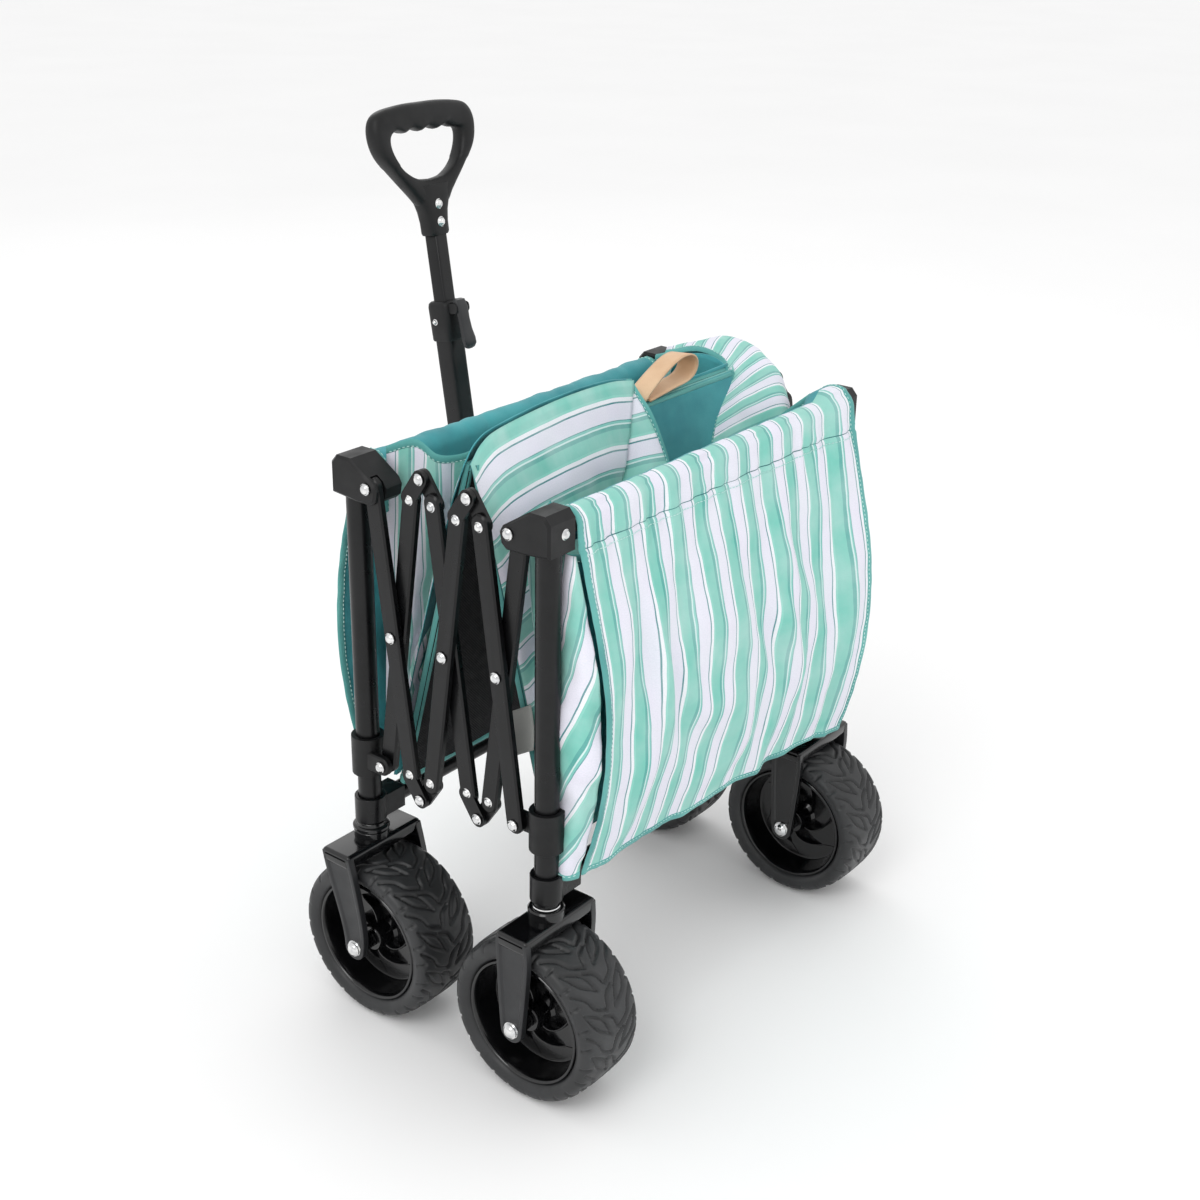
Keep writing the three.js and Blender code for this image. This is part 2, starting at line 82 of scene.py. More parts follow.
class Nodes:
    """A node tree with a Principled shader, and short ways to add nodes to it."""

    def __init__(self, name, **sockets):
        self.material = bpy.data.materials.new(name)
        self.material.use_nodes = True
        self.tree = self.material.node_tree
        self.shader = self.tree.nodes["Principled BSDF"]
        for label, value in sockets.items():
            self.shader.inputs[label.replace("_", " ")].default_value = value

    def add(self, kind, inputs=(), **settings):
        node = self.tree.nodes.new(kind)
        for key, value in settings.items():
            setattr(node, key, value)
        for key, value in dict(inputs).items():
            if isinstance(value, bpy.types.NodeSocket):
                self.tree.links.new(value, node.inputs[key])
            else:
                node.inputs[key].default_value = linear(value) if isinstance(value, str) else value
        return node

    def math(self, operation, a, b=0.0):
        return self.add("ShaderNodeMath", {0: a, 1: b}, operation=operation).outputs[0]

    def noise(self, scale, detail=3.0, vector=None):
        """Clouds in object space, or over the given coordinates."""
        where = vector or self.add("ShaderNodeTexCoord").outputs["Object"]
        inputs = {"Scale": scale, "Detail": detail, "Vector": where}
        return self.add("ShaderNodeTexNoise", inputs).outputs["Fac"]

    def remap(self, value, low=0.0, high=1.0, start=0.3, stop=0.7):
        inputs = {"Value": value, "From Min": start, "From Max": stop, "To Min": low, "To Max": high}
        return self.add("ShaderNodeMapRange", inputs).outputs["Result"]

    def edges(self, start, stop):
        """0 in a hollow to 1 on an edge."""
        pointiness = self.add("ShaderNodeNewGeometry").outputs["Pointiness"]
        return self.remap(pointiness, start=start, stop=stop)

    def mix(self, factor, a, b):
        """A blend of two colours, each a socket or hex digits."""
        return self.add("ShaderNodeMix", {0: factor, 6: a, 7: b}, data_type="RGBA").outputs[2]

    def finish(self, color, rough, height=None, bump=0.2, distance=0.0004):
        sockets = {"Base Color": color, "Roughness": rough}
        if height is not None:
            inputs = {"Height": height, "Strength": bump, "Distance": distance}
            sockets["Normal"] = self.add("ShaderNodeBump", inputs).outputs[0]
        for label, value in sockets.items():
            self.tree.links.new(value, self.shader.inputs[label])
        return self.material


def hard(name, dark, worn, rough, grain, bump, **sockets):
    """Painted or moulded black: clouded colour, paler worn edges, uneven gloss, fine grain."""
    n = Nodes(name, **sockets)
    scuff = n.math("MULTIPLY", n.edges(0.53, 0.62), n.remap(n.noise(120.0, 5.0)))
    base = n.mix(n.remap(n.noise(18.0, 4.0), 0.0, 0.35), dark, worn)
    color = n.mix(n.math("MULTIPLY", scuff, 0.6), base, worn)
    uneven = n.remap(n.noise(55.0, 5.0), rough * 0.85, rough * 1.2)
    return n.finish(color, uneven, n.noise(grain, 2.0), bump, 0.0002)


def rubber(name):
    """Tyre rubber: clouded grey on the raised tread, with painted shade turning it black down in the grooves.
    """
    n = Nodes(name, Specular_IOR_Level=0.5)
    base = n.mix(n.remap(n.noise(18.0, 4.0), 0.0, 0.5), "202122", "38393B")
    # painted shade: low pointiness down in the grooves mixes the rubber to near black
    color = n.mix(n.edges(0.4, 0.495), "060606", base)
    return n.finish(color, n.remap(n.noise(55.0, 5.0), 0.38, 0.55), n.noise(700.0, 2.0), 0.2, 0.0002)


def metal(name):
    n = Nodes(name, Metallic=1.0)
    color = n.mix(n.remap(n.noise(160.0)), "F4F4F2", "C9CACC")
    return n.finish(color, n.remap(n.noise(420.0), 0.1, 0.24), n.noise(900.0), 0.05)


def cut(n):
    """Where a point lay on the flat cloth, in metres: across, and down its length."""
    return n.add("ShaderNodeAttribute", attribute_name="cut").outputs["Vector"]


def weave(n, flat, pitch):
    """The height of a plain weave, with uneven threads."""
    axes = n.add("ShaderNodeSeparateXYZ", {0: flat})
    waves = [n.math("SINE", n.math("MULTIPLY", axes.outputs[i], 2 * math.pi / pitch)) for i in (0, 1)]
    return n.math("ADD", n.math("MULTIPLY", *waves), n.noise(900.0, 2.0, flat))


STRIPE_REPEAT = 0.042
BANDS = (  # share of the repeat where each band starts, and its colour
    (0.00, "ECE8F6"), (0.30, "35858A"), (0.335, "F6F5FB"), (0.42, "86D4C4"), (0.475, "78CABA"),
    (0.76, "55ABA2"), (0.85, "D6EFEC"), (0.885, "79C9BE"), (0.93, "4B9C98"), (0.95, "ECE8F6"),
)


def striped_cloth():
    n = Nodes("striped_canvas", Sheen_Weight=0.12, Specular_IOR_Level=0.25)
    flat = cut(n)
    across = n.add("ShaderNodeSeparateXYZ", {0: flat}).outputs[0]
    wander = n.math("MULTIPLY", n.math("SUBTRACT", n.noise(14.0, 2.0, flat), 0.5), 0.0016)
    turn = n.math("FRACT", n.math("DIVIDE", n.math("ADD", across, wander), STRIPE_REPEAT))
    ramp = n.add("ShaderNodeValToRGB", {"Fac": turn})
    ramp.color_ramp.interpolation = "CONSTANT"
    elements = ramp.color_ramp.elements
    elements.remove(elements[1])
    elements[0].color = linear(BANDS[0][1])
    for start, shade in BANDS[1:]:
        elements.new(start).color = linear(shade)
    faded = n.mix(n.remap(n.noise(22.0, 4.0, flat), 0.0, 0.3), ramp.outputs[0], "E9F2F2")
    threads = n.mix(n.remap(n.noise(700.0, 2.0, flat), 0.0, 0.16), faded, "9FB9BC")
    return n.finish(threads, n.remap(n.noise(60.0), 0.78, 0.92), weave(n, flat, 0.0011), 0.25)


def plain_cloth(name, light, deep, pitch=0.001):
    n = Nodes(name, Sheen_Weight=0.18, Specular_IOR_Level=0.3)
    flat = cut(n)
    cloud = n.mix(n.remap(n.noise(11.0, 4.0, flat)), light, deep)
    threads = n.mix(n.remap(n.noise(800.0, 2.0, flat), 0.0, 0.2), cloud, deep)
    return n.finish(threads, n.remap(n.noise(50.0), 0.7, 0.88), weave(n, flat, pitch), 0.22)


def mesh_cloth():
    """Coarse black netting: holes between thick threads."""
    n = Nodes("board_netting", Specular_IOR_Level=0.3)
    flat = cut(n)
    height = weave(n, flat, 0.0032)
    color = n.mix(n.remap(height, start=0.1, stop=1.2), "060607", "2B2C2F")
    return n.finish(color, n.remap(n.noise(90.0), 0.7, 0.9), height, 0.6, 0.0006)


STEEL = hard("coated_steel", "050506", "191A1C", 0.3, 900.0, 0.1, Specular_IOR_Level=0.32)
PLASTIC = hard("grained_plastic", "09090A", "1E1F21", 0.46, 1600.0, 0.22, Specular_IOR_Level=0.34)
GLOSS = hard("glossy_plastic", "040405", "18191B", 0.17, 500.0, 0.04, Coat_Weight=0.15)
SATIN = hard("satin_plastic", "1A1B1D", "37383B", 0.4, 1300.0, 0.15)
RUBBER = rubber("tyre_rubber")
CHROME = metal("bright_rivets")
STRIPES = striped_cloth()
LINING = plain_cloth("teal_lining", "55B3B8", "36868F")
BINDING = plain_cloth("teal_binding", "6FB9B2", "4C9492", 0.0022)
BEIGE = plain_cloth("beige_webbing", "F2D3B0", "C99F78", 0.0018)
NETTING = mesh_cloth()
THREAD = plain_cloth("sewing_thread", "D8F0EC", "9CCFC8")
SEAM = plain_cloth("seam_shadow", "3C8386", "2A6468")
LABEL = plain_cloth("blank_label", "B9BAB6", "8F918E")


# ---- mesh helpers ----
def unit(vectors):
    vectors = np.asarray(vectors, float)
    return vectors / np.maximum(np.linalg.norm(vectors, axis=-1, keepdims=True), 1e-9)


def grid_faces(rows, columns, closed_rows=False, closed_columns=False):
    faces = []
    for i in range(rows if closed_rows else rows - 1):
        for j in range(columns if closed_columns else columns - 1):
            here, below, right = i * columns, (i + 1) % rows * columns, (j + 1) % columns
            faces.append((here + j, below + j, below + right, here + right))
    return faces


def add_object(name, data):
    obj = bpy.data.objects.new(name, data)
    scene.collection.objects.link(obj)
    return obj


def build(name, points, faces, materials, indices, cut, crease=None):
    """A smooth mesh. cut: its points on the flat cloth. crease: edges over this angle stay sharp."""
    mesh = bpy.data.meshes.new(name)
    mesh.from_pydata(points.tolist(), [], faces)
    for material in materials:
        mesh.materials.append(material)
    mesh.polygons.foreach_set("material_index", indices)
    mesh.polygons.foreach_set("use_smooth", [True] * len(faces))
    layer = mesh.attributes.new("cut", "FLOAT_VECTOR", "POINT")
    layer.data.foreach_set("vector", np.asarray(cut, np.float32).ravel())
    work = bmesh.new()
    work.from_mesh(mesh)
    if crease:
        bmesh.ops.remove_doubles(work, verts=work.verts, dist=1e-6)
    bmesh.ops.recalc_face_normals(work, faces=work.faces)
    for edge in work.edges if crease else ():
        if len(edge.link_faces) == 2 and edge.calc_face_angle() > math.radians(crease):
            edge.smooth = False
    work.to_mesh(mesh)
    work.free()
    return add_object(name, mesh)


def attach(obj, body, replaces):
    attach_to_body(obj, body)
    if replaces:
        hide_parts(*replaces)
    return obj


def piece(name, parts, body, replaces=(), crease=40.0):
    """One object from (points, faces, material) parts, riding on a body."""
    materials, points, faces, indices = [], [], [], []
    count = 0
    for where, polygons, material in parts:
        if material not in materials:
            materials.append(material)
        points.append(to_row(where))
        faces += [tuple(i + count for i in face) for face in polygons]
        indices += [materials.index(material)] * len(polygons)
        count += len(points[-1])
    points = np.concatenate(points)
    return attach(build(name, points, faces, materials, indices, points, crease), body, replaces)


def frame_of(axis):
    """Three unit vectors at right angles, the last along an axis."""
    z = unit(axis)
    x = unit(np.cross([1.0, 0, 0] if abs(z[0]) < 0.9 else [0, 0, 1.0], z))
    return x, np.cross(z, x), z


def lathe(profile, origin, axis, sides=48):
    """A closed solid turned from (radius, height) points that start and end on the axis."""
    x, y, z = frame_of(axis)
    angles = np.arange(sides) * 2 * math.pi / sides
    ring = np.cos(angles)[:, None] * x + np.sin(angles)[:, None] * y
    points = [np.asarray(origin) + r * ring + h * z for r, h in profile]
    return np.concatenate(points), grid_faces(len(profile), sides, closed_columns=True)


def loft(rings):
    """A solid skinned over rings of points, with a polygon across each end."""
    rings = np.array(rings)
    count, sides, _ = rings.shape
    faces = grid_faces(count, sides, closed_columns=True)
    faces += [tuple(range(sides)), tuple(range((count - 1) * sides, count * sides))]
    return rings.reshape(-1, 3), faces


def tube(section, start, end, x, y):
    """A closed prism: a section of (x, y) points carried from start to end, with eased ends."""
    z = unit(end - start)
    places = ((0.0, start), (0.93, start), (1.0, start + z), (1.0, end - z), (0.93, end), (0.0, end))
    rows = [[centre + k * (a * x + b * y) for a, b in section] for k, centre in places]
    return np.array(rows).reshape(-1, 3), grid_faces(len(rows), len(section), closed_columns=True)


def soft_square(half_x, half_y, power=5.0, sides=48):
    angles = np.arange(sides) * 2 * math.pi / sides
    c, s = np.cos(angles), np.sin(angles)
    x, y = (half * np.sign(k) * np.abs(k) ** (2 / power) for half, k in ((half_x, c), (half_y, s)))
    return np.stack([x, y], axis=1)


def slab(outline, low, high, bevel, inset=None):
    """A (y, z) outline extruded along X with rounded edges; inset sinks a panel in the far face."""
    work = bmesh.new()
    verts = [work.verts.new((low, y, z)) for y, z in outline]
    bottom = work.faces.new(verts)
    pushed = bmesh.ops.extrude_face_region(work, geom=[bottom])
    moved = [g for g in pushed["geom"] if isinstance(g, bmesh.types.BMVert)]
    bmesh.ops.translate(work, verts=moved, vec=(high - low, 0, 0))
    top = [g for g in pushed["geom"] if isinstance(g, bmesh.types.BMFace)]
    if inset:
        bmesh.ops.inset_region(work, faces=top, thickness=inset, depth=0, use_even_offset=True)
        bmesh.ops.inset_region(work, faces=top, thickness=1.2, depth=-1.8, use_even_offset=True)
    bmesh.ops.recalc_face_normals(work, faces=work.faces)
    crisp = [e for e in work.edges if len(e.link_faces) == 2 and e.calc_face_angle() > 0.6]
    bmesh.ops.bevel(work, geom=crisp, offset=bevel, segments=3, profile=0.6, affect="EDGES")
    work.verts.index_update()
    points = np.array([v.co[:] for v in work.verts])
    faces = [tuple(v.index for v in f.verts) for f in work.faces]
    work.free()
    return points, faces


def mirrored(points):
    return [(-x, *rest) for x, *rest in points]


def run(line):
    """How far along a line each of its points is."""
    return np.concatenate([[0], np.cumsum(np.linalg.norm(np.diff(line, axis=0), axis=1))])


def sample(line, length, marks):
    return np.stack([np.interp(marks, length, column) for column in np.transpose(line)], axis=-1)


def curve(points, count):
    """A smooth line through points, evenly spaced along its length."""
    p = np.asarray(points, float)
    p = np.concatenate([[2 * p[0] - p[1]], p, [2 * p[-1] - p[-2]]])
    fine = []
    for a, b, c, d in zip(p, p[1:], p[2:], p[3:]):
        for t in np.arange(16) / 16:
            fine.append(0.5 * (2 * b + (c - a) * t + (2 * a - 5 * b + 4 * c - d) * t**2
                               + (3 * b - 3 * c + d - a) * t**3))
    fine = np.array([*fine, p[-2]])
    length = run(fine)
    return sample(fine, length, np.linspace(0, length[-1], count))


def bumps(a, b, seed):
    return noise.noise(Vector((a, b, seed)))


# ---- cloth helpers ----
STRIPED = (STRIPES, LINING, "striped_fabric")


def surface_normals(grid):
    return unit(np.cross(np.gradient(grid, axis=0), np.gradient(grid, axis=1)))


def laid_flat(grid, wide, long):
    """Flat coordinates of a rectangle of cloth in millimetres: across its columns, down its rows."""
    flat = np.zeros_like(grid)
    flat[..., 0] = np.linspace(0, wide, grid.shape[1])[None, :]
    flat[..., 1] = np.linspace(0, long, grid.shape[0])[:, None]
    return flat


def two_layers(name, top, back, flat, outer, inner, lining=0):
    """A closed sheet from two grids joined round their rim; its first lining faces are inner cloth."""
    rows, columns, _ = top.shape
    count = rows * columns
    ids = np.arange(count).reshape(rows, columns)
    ids = np.concatenate([ids[0], ids[1:, -1], ids[-1, -2::-1], ids[-2:0:-1, 0]]).tolist()
    layer = grid_faces(rows, columns)
    inners = layer[:lining] + [tuple(count + i for i in reversed(face)) for face in layer]
    inners += [(a, b, b + count, a + count) for a, b in zip(ids, ids[1:] + ids[:1])]
    outers = layer[lining:]
    indices = [0] * len(outers) + [1] * len(inners)
    points, cut = to_row([top, back]), np.array([flat, flat]) / 1000
    return build(name, points, outers + inners, (outer, inner), indices, cut)


def cloth_piece(name, grid, flat, facing, body, replaces=(), looks=STRIPED, thick=1.2, lined=0):
    """Two layers of cloth round a grid of points, riding on a body.

    facing is roughly the way the outer face looks; looks holds the outer and the inner
    material and a slot name, which is not used; the first lined rows are inner cloth on both faces.
    """
    if surface_normals(grid).mean(axis=(0, 1)) @ np.asarray(facing, float) < 0:
        grid, flat = grid[:, ::-1], flat[:, ::-1]
    outer, inner, slot = looks
    lift = surface_normals(grid) * thick / 2
    lining = lined * (grid.shape[1] - 1)
    obj = two_layers(name, grid + lift, grid - lift, flat, outer, inner, lining)
    return attach(obj, body, replaces)


HEM = 9.0  # width of a binding


def tape(line, inward, normal, width, thick=3.4):
    """A binding folded over an edge: an oval section carried along it."""
    sides = 10
    angles = np.arange(sides) * 2 * math.pi / sides
    rows = []
    for p, i, n in zip(line, inward, normal):
        centre = p + i * (width / 2 - 1.2)
        rows.append([centre + i * math.cos(k) * width / 2 + n * math.sin(k) * thick / 2 for k in angles])
    points = np.array(rows)
    caps = np.repeat(points.mean(axis=1, keepdims=True), sides, axis=1)
    full = np.concatenate([caps[:1], points, caps[-1:]]).reshape(-1, 3)
    return full, grid_faces(len(full) // sides, sides, closed_columns=True)


def stitches(line, normal, gap=5.0, long=3.2, lift=1.6):
    """A row of short thread stitches lying on a line."""
    thread = 0.55
    length = run(line)
    points, faces = [], []
    for mark in np.arange(gap, length[-1] - gap, gap):
        spot, n = sample(line, length, mark), sample(normal, length, mark)
        ahead = unit(sample(line, length, mark + 1) - spot)
        aside = unit(np.cross(ahead, n))
        base = len(points)
        for k, w in ((-0.5, 0.0), (-0.3, 1.0), (0.3, 1.0), (0.5, 0.0)):
            centre = spot + n * lift + ahead * long * k - n * (0.7 if w == 0 else 0)
            for a, b in ((1, 0), (0, 1), (-1, 0), (0, -1)):
                points.append(centre + (aside * a + n * b) * thread * max(w, 0.25))
        faces += [tuple(base + i for i in f) for f in grid_faces(4, 4, closed_columns=True)]
        faces += [(base + 3, base + 2, base + 1, base), (base + 12, base + 13, base + 14, base + 15)]
    return np.array(points), faces


def edge_lines(grid, which):
    """An edge of a cloth grid with its inward and normal directions."""
    edge, inner = {
        "left": (np.s_[:, 0], np.s_[:, 1]), "right": (np.s_[:, -1], np.s_[:, -2]),
        "top": (0, 1), "foot": (-1, -2),
    }[which]
    return grid[edge], unit(grid[inner] - grid[edge]), surface_normals(grid)[edge]


def bind(name, grid, edges, body, sewn=(1,)):
    """Bindings along some edges of a cloth, with a row of stitches on each face in sewn."""
    parts = []
    for which in edges:
        line, inward, normal = edge_lines(grid, which)
        parts.append((*tape(line, inward, normal, HEM), BINDING))
        for face in sewn:
            parts.append((*stitches(line + inward * (HEM - 3.0), normal * face), THREAD))
    return piece(name, parts, body)


# ---- frame parts kept from CAD ----
def soften(node, width, material):
    """A kept CAD node: its edges rounded and its material replaced."""
    o = frame["nodes"][node]
    o.modifiers.new("weld", "WELD").merge_threshold = 1e-5
    edge = o.modifiers.new("edge", "BEVEL")
    edge.width = width / 1000
    edge.segments = 3
    edge.limit_method = "ANGLE"
    edge.angle_limit = math.radians(32)
    o.modifiers.new("shading", "WEIGHTED_NORMAL")
    for index in range(len(o.material_slots)):
        o.material_slots[index].material = material


for label in SIDES:
    for bar in ("a1", "b1", "a2", "b2", "a3", "b3"):
        soften(f"scissor_{bar}_{label}", 0.8, STEEL)
    for end in ENDS:
        soften(f"{end}_cap_{label}", 2.0, PLASTIC)
        soften(f"{end}_slider_{label}", 1.4, PLASTIC)
for end in ENDS:
    soften(f"{end}_lower_rail", 1.5, STEEL)
soften("handle_bracket", 1.2, STEEL)


# ---- posts and top rails ----
def rod(r, start, end):
    along = np.subtract(end, start)
    long, ease = np.linalg.norm(along), 1.0
    profile = [(0, 0), (r - ease, 0), (r, ease), (r, long - ease), (r - ease, long), (0, long)]
    return lathe(profile, start, along)


POST_TOP, RAIL_R, RAIL_HALF = 597.6, 11, 232.6
TIERS = [(0, 0), (19.2, 0), (20, 0.8), (20, 3.4), (19, 4.4), (16.4, 5), (16, 6), (16, 8.4),
         (15, 9.4), (12.6, 9.6), (12.6, 9), (0, 9)]  # a swivel's stepped collar
RING = [(0, 0.2), (14, 0.2), (14.6, 1.2), (14.2, 2.4), (12.6, 3), (0, 3)]  # a fixed post's ring
for end, way in ENDS.items():
    boss_high, collar = (8.5, (TIERS, GLOSS)) if way > 0 else (10.4, (RING, CHROME))
    for label, side in SIDES.items():
        x, y, foot = side * POST_X, way * POST_Y, CROWN_Z + boss_high
        parts = [(*rod(POST_R, (x, y, foot), (x, y, POST_TOP)), STEEL),
                 (*lathe(collar[0], (x, y, foot), UP), collar[1])]
        piece(f"{end}_tube_{label}", parts, f"{end}_frame", (f"{end}_post_{label}",))
    bar_ends = [(side * RAIL_HALF, way * POST_Y, RAIL_Z) for side in SIDES.values()]
    piece(f"{end}_rail_tube", [(*rod(RAIL_R, *bar_ends), STEEL)], f"{end}_frame",
          (f"{end}_top_rail",))


# ---- rivets ----
def rivet_head(at, axis, r=5.2):
    dome = [(0, -0.6), (r + 0.9, -0.6), (r + 0.9, 0.2), (r, 0.7), (r * 0.93, 1.5), (r * 0.75, 2.5),
            (r * 0.45, 3.2), (0, 3.5)]
    return (*lathe(dome, at, axis, 20), CHROME)


def pivots():
    """Pivot points as (y, z) in the drawing frame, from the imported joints: T top, M middle, B bottom."""
    names = dict(T0="fold", M1="cross_1", B1="knuckle_low_1", M2="cross_2", T2="knuckle_high_2",
                 M3="cross_3", T3="rear_corner", B0="front_slider_pivot", B3="rear_slider_pivot")
    found = {key: (JOINTS[name] - SHIFT)[1:] for key, name in names.items()}
    found["T1"] = np.array([found["B1"][0], 2 * found["M1"][1] - found["B1"][1]])
    found["B2"] = np.array([found["T2"][0], 2 * found["M2"][1] - found["T2"][1]])
    return found


PIVOTS = pivots()
OUTER_FACE, INNER_FACE, CAP_FACE = 267.0, 257.0, 273.0  # from the middle out along X
FACES = {"a": OUTER_FACE, "b": INNER_FACE}
WASHER = 1.6
HEADS = (  # a bar and its pivot
    ("a1", "M1"), ("a2", "M2"), ("a3", "M3"), ("a1", "B1"), ("a2", "T2"), ("b1", "T1"), ("b2", "B2"),
    ("a3", "B3"),
)
CORNERS = (  # a body of an end, its pivot, and the face that the rivet stands on
    ("front_frame", "T0", CAP_FACE), ("rear_frame", "T3", CAP_FACE),
    ("front_sliders", "B0", OUTER_FACE - 0.3),
)
TIPS = (  # the rivets in the tubes' ends: bar, and the knuckle that the tube comes to
    ("a1", "B1"), ("a2", "B1"), ("a2", "T2"), ("a3", "T2"),
    ("b1", "T1"), ("b2", "T1"), ("b2", "B2"), ("b3", "B2"),
)
KNUCKLE_OFFSET = 11.0  # a tube's centre line misses its knuckle pivot by this
TIP_BACK = 27.0  # from the pivot back to the tube's rivet


def rivets():
    heads = defaultdict(list)
    for side in SIDES.values():
        axis = (side, 0, 0)
        crossings = [("scissor_" + bar, pivot, FACES[bar[0]]) for bar, pivot in HEADS]
        for body, pivot, face in (*crossings, *CORNERS):
            heads[body].append(rivet_head((side * (face + WASHER), *PIVOTS[pivot]), axis))
        for bar, pivot in TIPS:
            crossing = PIVOTS["M" + bar[1]]
            way_y, way_z = PIVOTS[pivot] - crossing
            reach = math.hypot(way_y, way_z)
            lean = math.atan2(abs(way_y), abs(way_z)) - math.asin(KNUCKLE_OFFSET / reach)
            along = np.copysign([math.sin(lean), math.cos(lean)], [way_y, way_z])
            at = crossing + along * (reach - TIP_BACK)
            heads["scissor_" + bar].append(rivet_head((side * FACES[bar[0]], *at), axis, 4.4))
        heads["rear_frame"].append(rivet_head((side * 250, -POST_Y - 17.2, RAIL_Z - 1), (0, -1, 0), 4.6))
    for body, parts in heads.items():
        piece(f"rivets_{body}", parts, body)


rivets()


# ---- forks ----
LEG_IN, LEG_OUT = 47.5, 55.5


def leg_outline(trail):
    """A fork leg's side outline: wide at the crown, narrowing to a round foot at the axle."""
    foot_r = 13.5
    sides = (  # height, back edge, front edge, share of the trail
        (CROWN_Z - 3, -20, 20, 0), (175, -21, 19, 0.25), (130, -17.5, 16.5, 0.8), (106, -15, 15, 1),
        (WHEEL_R, -foot_r, foot_r, 1),
    )
    back = curve([(y - share * trail, z) for z, y, _, share in sides], 14)
    front = curve([(y - share * trail, z) for z, _, y, share in sides[::-1]], 14)
    angles = np.linspace(math.pi, 2 * math.pi, 12)[1:-1]
    foot = [(foot_r * math.cos(a) - trail, WHEEL_R + foot_r * math.sin(a)) for a in angles]
    return [*map(tuple, back), *foot, *map(tuple, front)]


def fork(label, end):
    """A crown block with a boss, two legs with sunk panels, and the axle's washers and nuts."""
    side, way = SIDES[label], ENDS[end]
    trail, boss_high = (TRAIL, 8) if way > 0 else (0.0, 10)
    crown = [(-20, CROWN_Z - 16), (20, CROWN_Z - 16), (20, CROWN_Z), (-20, CROWN_Z)]
    boss = [(0, -2), (19, -2), (19, boss_high - 1.5), (17.5, boss_high), (0, boss_high)]
    parts = [(*slab(crown, -LEG_OUT, LEG_OUT, 4.5), GLOSS), (*lathe(boss, (0, 0, CROWN_Z), UP), GLOSS)]
    for s in (-1, 1):
        points, faces = slab(leg_outline(trail), LEG_IN, LEG_OUT, 1.1, inset=4.5)
        parts.append((points * (s, 1, 1), faces, SATIN if s * side > 0 else GLOSS))
        for profile, reach, sides, material in (
            ([(0, 0), (9, 0), (9, 17), (0, 17)], 31, 24, GLOSS),  # spacer
            ([(0, 0), (9.5, 0), (9.5, 1.2), (0, 1.2)], LEG_OUT - 1.8, 28, CHROME),  # washer
            ([(0, 0), (8, 0), (8.2, 2.6), (7.0, 3.2), (6.4, 4.4), (4.4, 5.8), (0, 6.4)],
             LEG_OUT - 0.8, 24, CHROME),  # nut
        ):
            parts.append((*lathe(profile, (s * reach, -trail, WHEEL_R), (s, 0, 0), sides), material))
    post = (side * POST_X, way * POST_Y, 0)
    parts = [(points + post, faces, material) for points, faces, material in parts]
    body = f"caster_{label}" if way > 0 else "rear_frame"
    piece(f"{end}_wheel_fork_{label}", parts, body, (f"{end}_fork_{label}",))


# ---- wheels ----
CELLS = 12  # tread pattern repeats round a tyre
GROOVE, DEPTH = 2.3, 2.4  # half width and depth of a groove


def tread_lines(pitch):
    """Groove lines of one repeat: (along the tread, across it) in millimetres."""
    def leaf(a, b, bulge):
        a, b = np.array(a, float), np.array(b, float)
        side = np.array([-(b - a)[1], (b - a)[0]]) / np.linalg.norm(b - a)
        return [curve([a, (a + b) / 2 + side * bulge * k, b], 24) for k in (1, -0.75)]

    lines = []
    for flip in (-1, 1):
        slide = 0.0 if flip < 0 else pitch / 2
        lines += leaf((slide + 2, flip * 35), (slide + 36, flip * 7), 6.5)
        lines.append(curve([(slide + 26, flip * 38), (slide + 38, flip * 26), (slide + 50, flip * 20),
                            (slide + 58, flip * 6)], 30))
        lines.append(curve([(slide + 14, flip * 12), (slide + 20, flip * 1), (slide + 32, -flip * 4)], 16))
        for along, start, long in ((18, 36, 8), (40, 37, 7)):
            lines.append(np.array([(slide + along, flip * (start + t)) for t in range(long)], float))
    return lines


def tyre():
    """One tyre about the origin, axis X, with sunk grooves."""
    around, tread_from = 400, 82
    half = [(36, 70), (40, 73), (42.6, 78.5), (42.4, 83.5), (39.5, 87.6), (33, 90.2), (20, 91.7)]
    profile = curve([*mirrored(half), (0, WHEEL_R), *half[::-1]], 82)
    inside = [(30, 70.0), (0, 70.0), (-30, 70.0)]
    perimeter = 2 * math.pi * WHEEL_R
    pitch = perimeter / CELLS
    lines = tread_lines(pitch)
    marks = np.concatenate([line + (k * pitch, 0) for k in range(-1, CELLS) for line in lines])
    tree = KDTree(len(marks) * 2)
    for index, (along, across) in enumerate(marks):
        wrapped = along - perimeter if along > perimeter / 2 else along + perimeter
        tree.insert((along, across, 0), 2 * index)
        tree.insert((wrapped, across, 0), 2 * index + 1)
    tree.balance()
    rows = []
    for i in range(around):
        angle = 2 * math.pi * i / around
        row = []
        for across, radius in profile:
            if radius > tread_from:
                gap = tree.find((i * perimeter / around, across, 0))[2]
                radius -= DEPTH * min(1.0, 1.8 * max(0.0, 1 - gap / GROOVE))
            row.append((across, radius))
        rows.append([(a, r * math.cos(angle), r * math.sin(angle)) for a, r in row + inside])
    return np.array(rows).reshape(-1, 3), grid_faces(around, len(rows[0]), True, True)


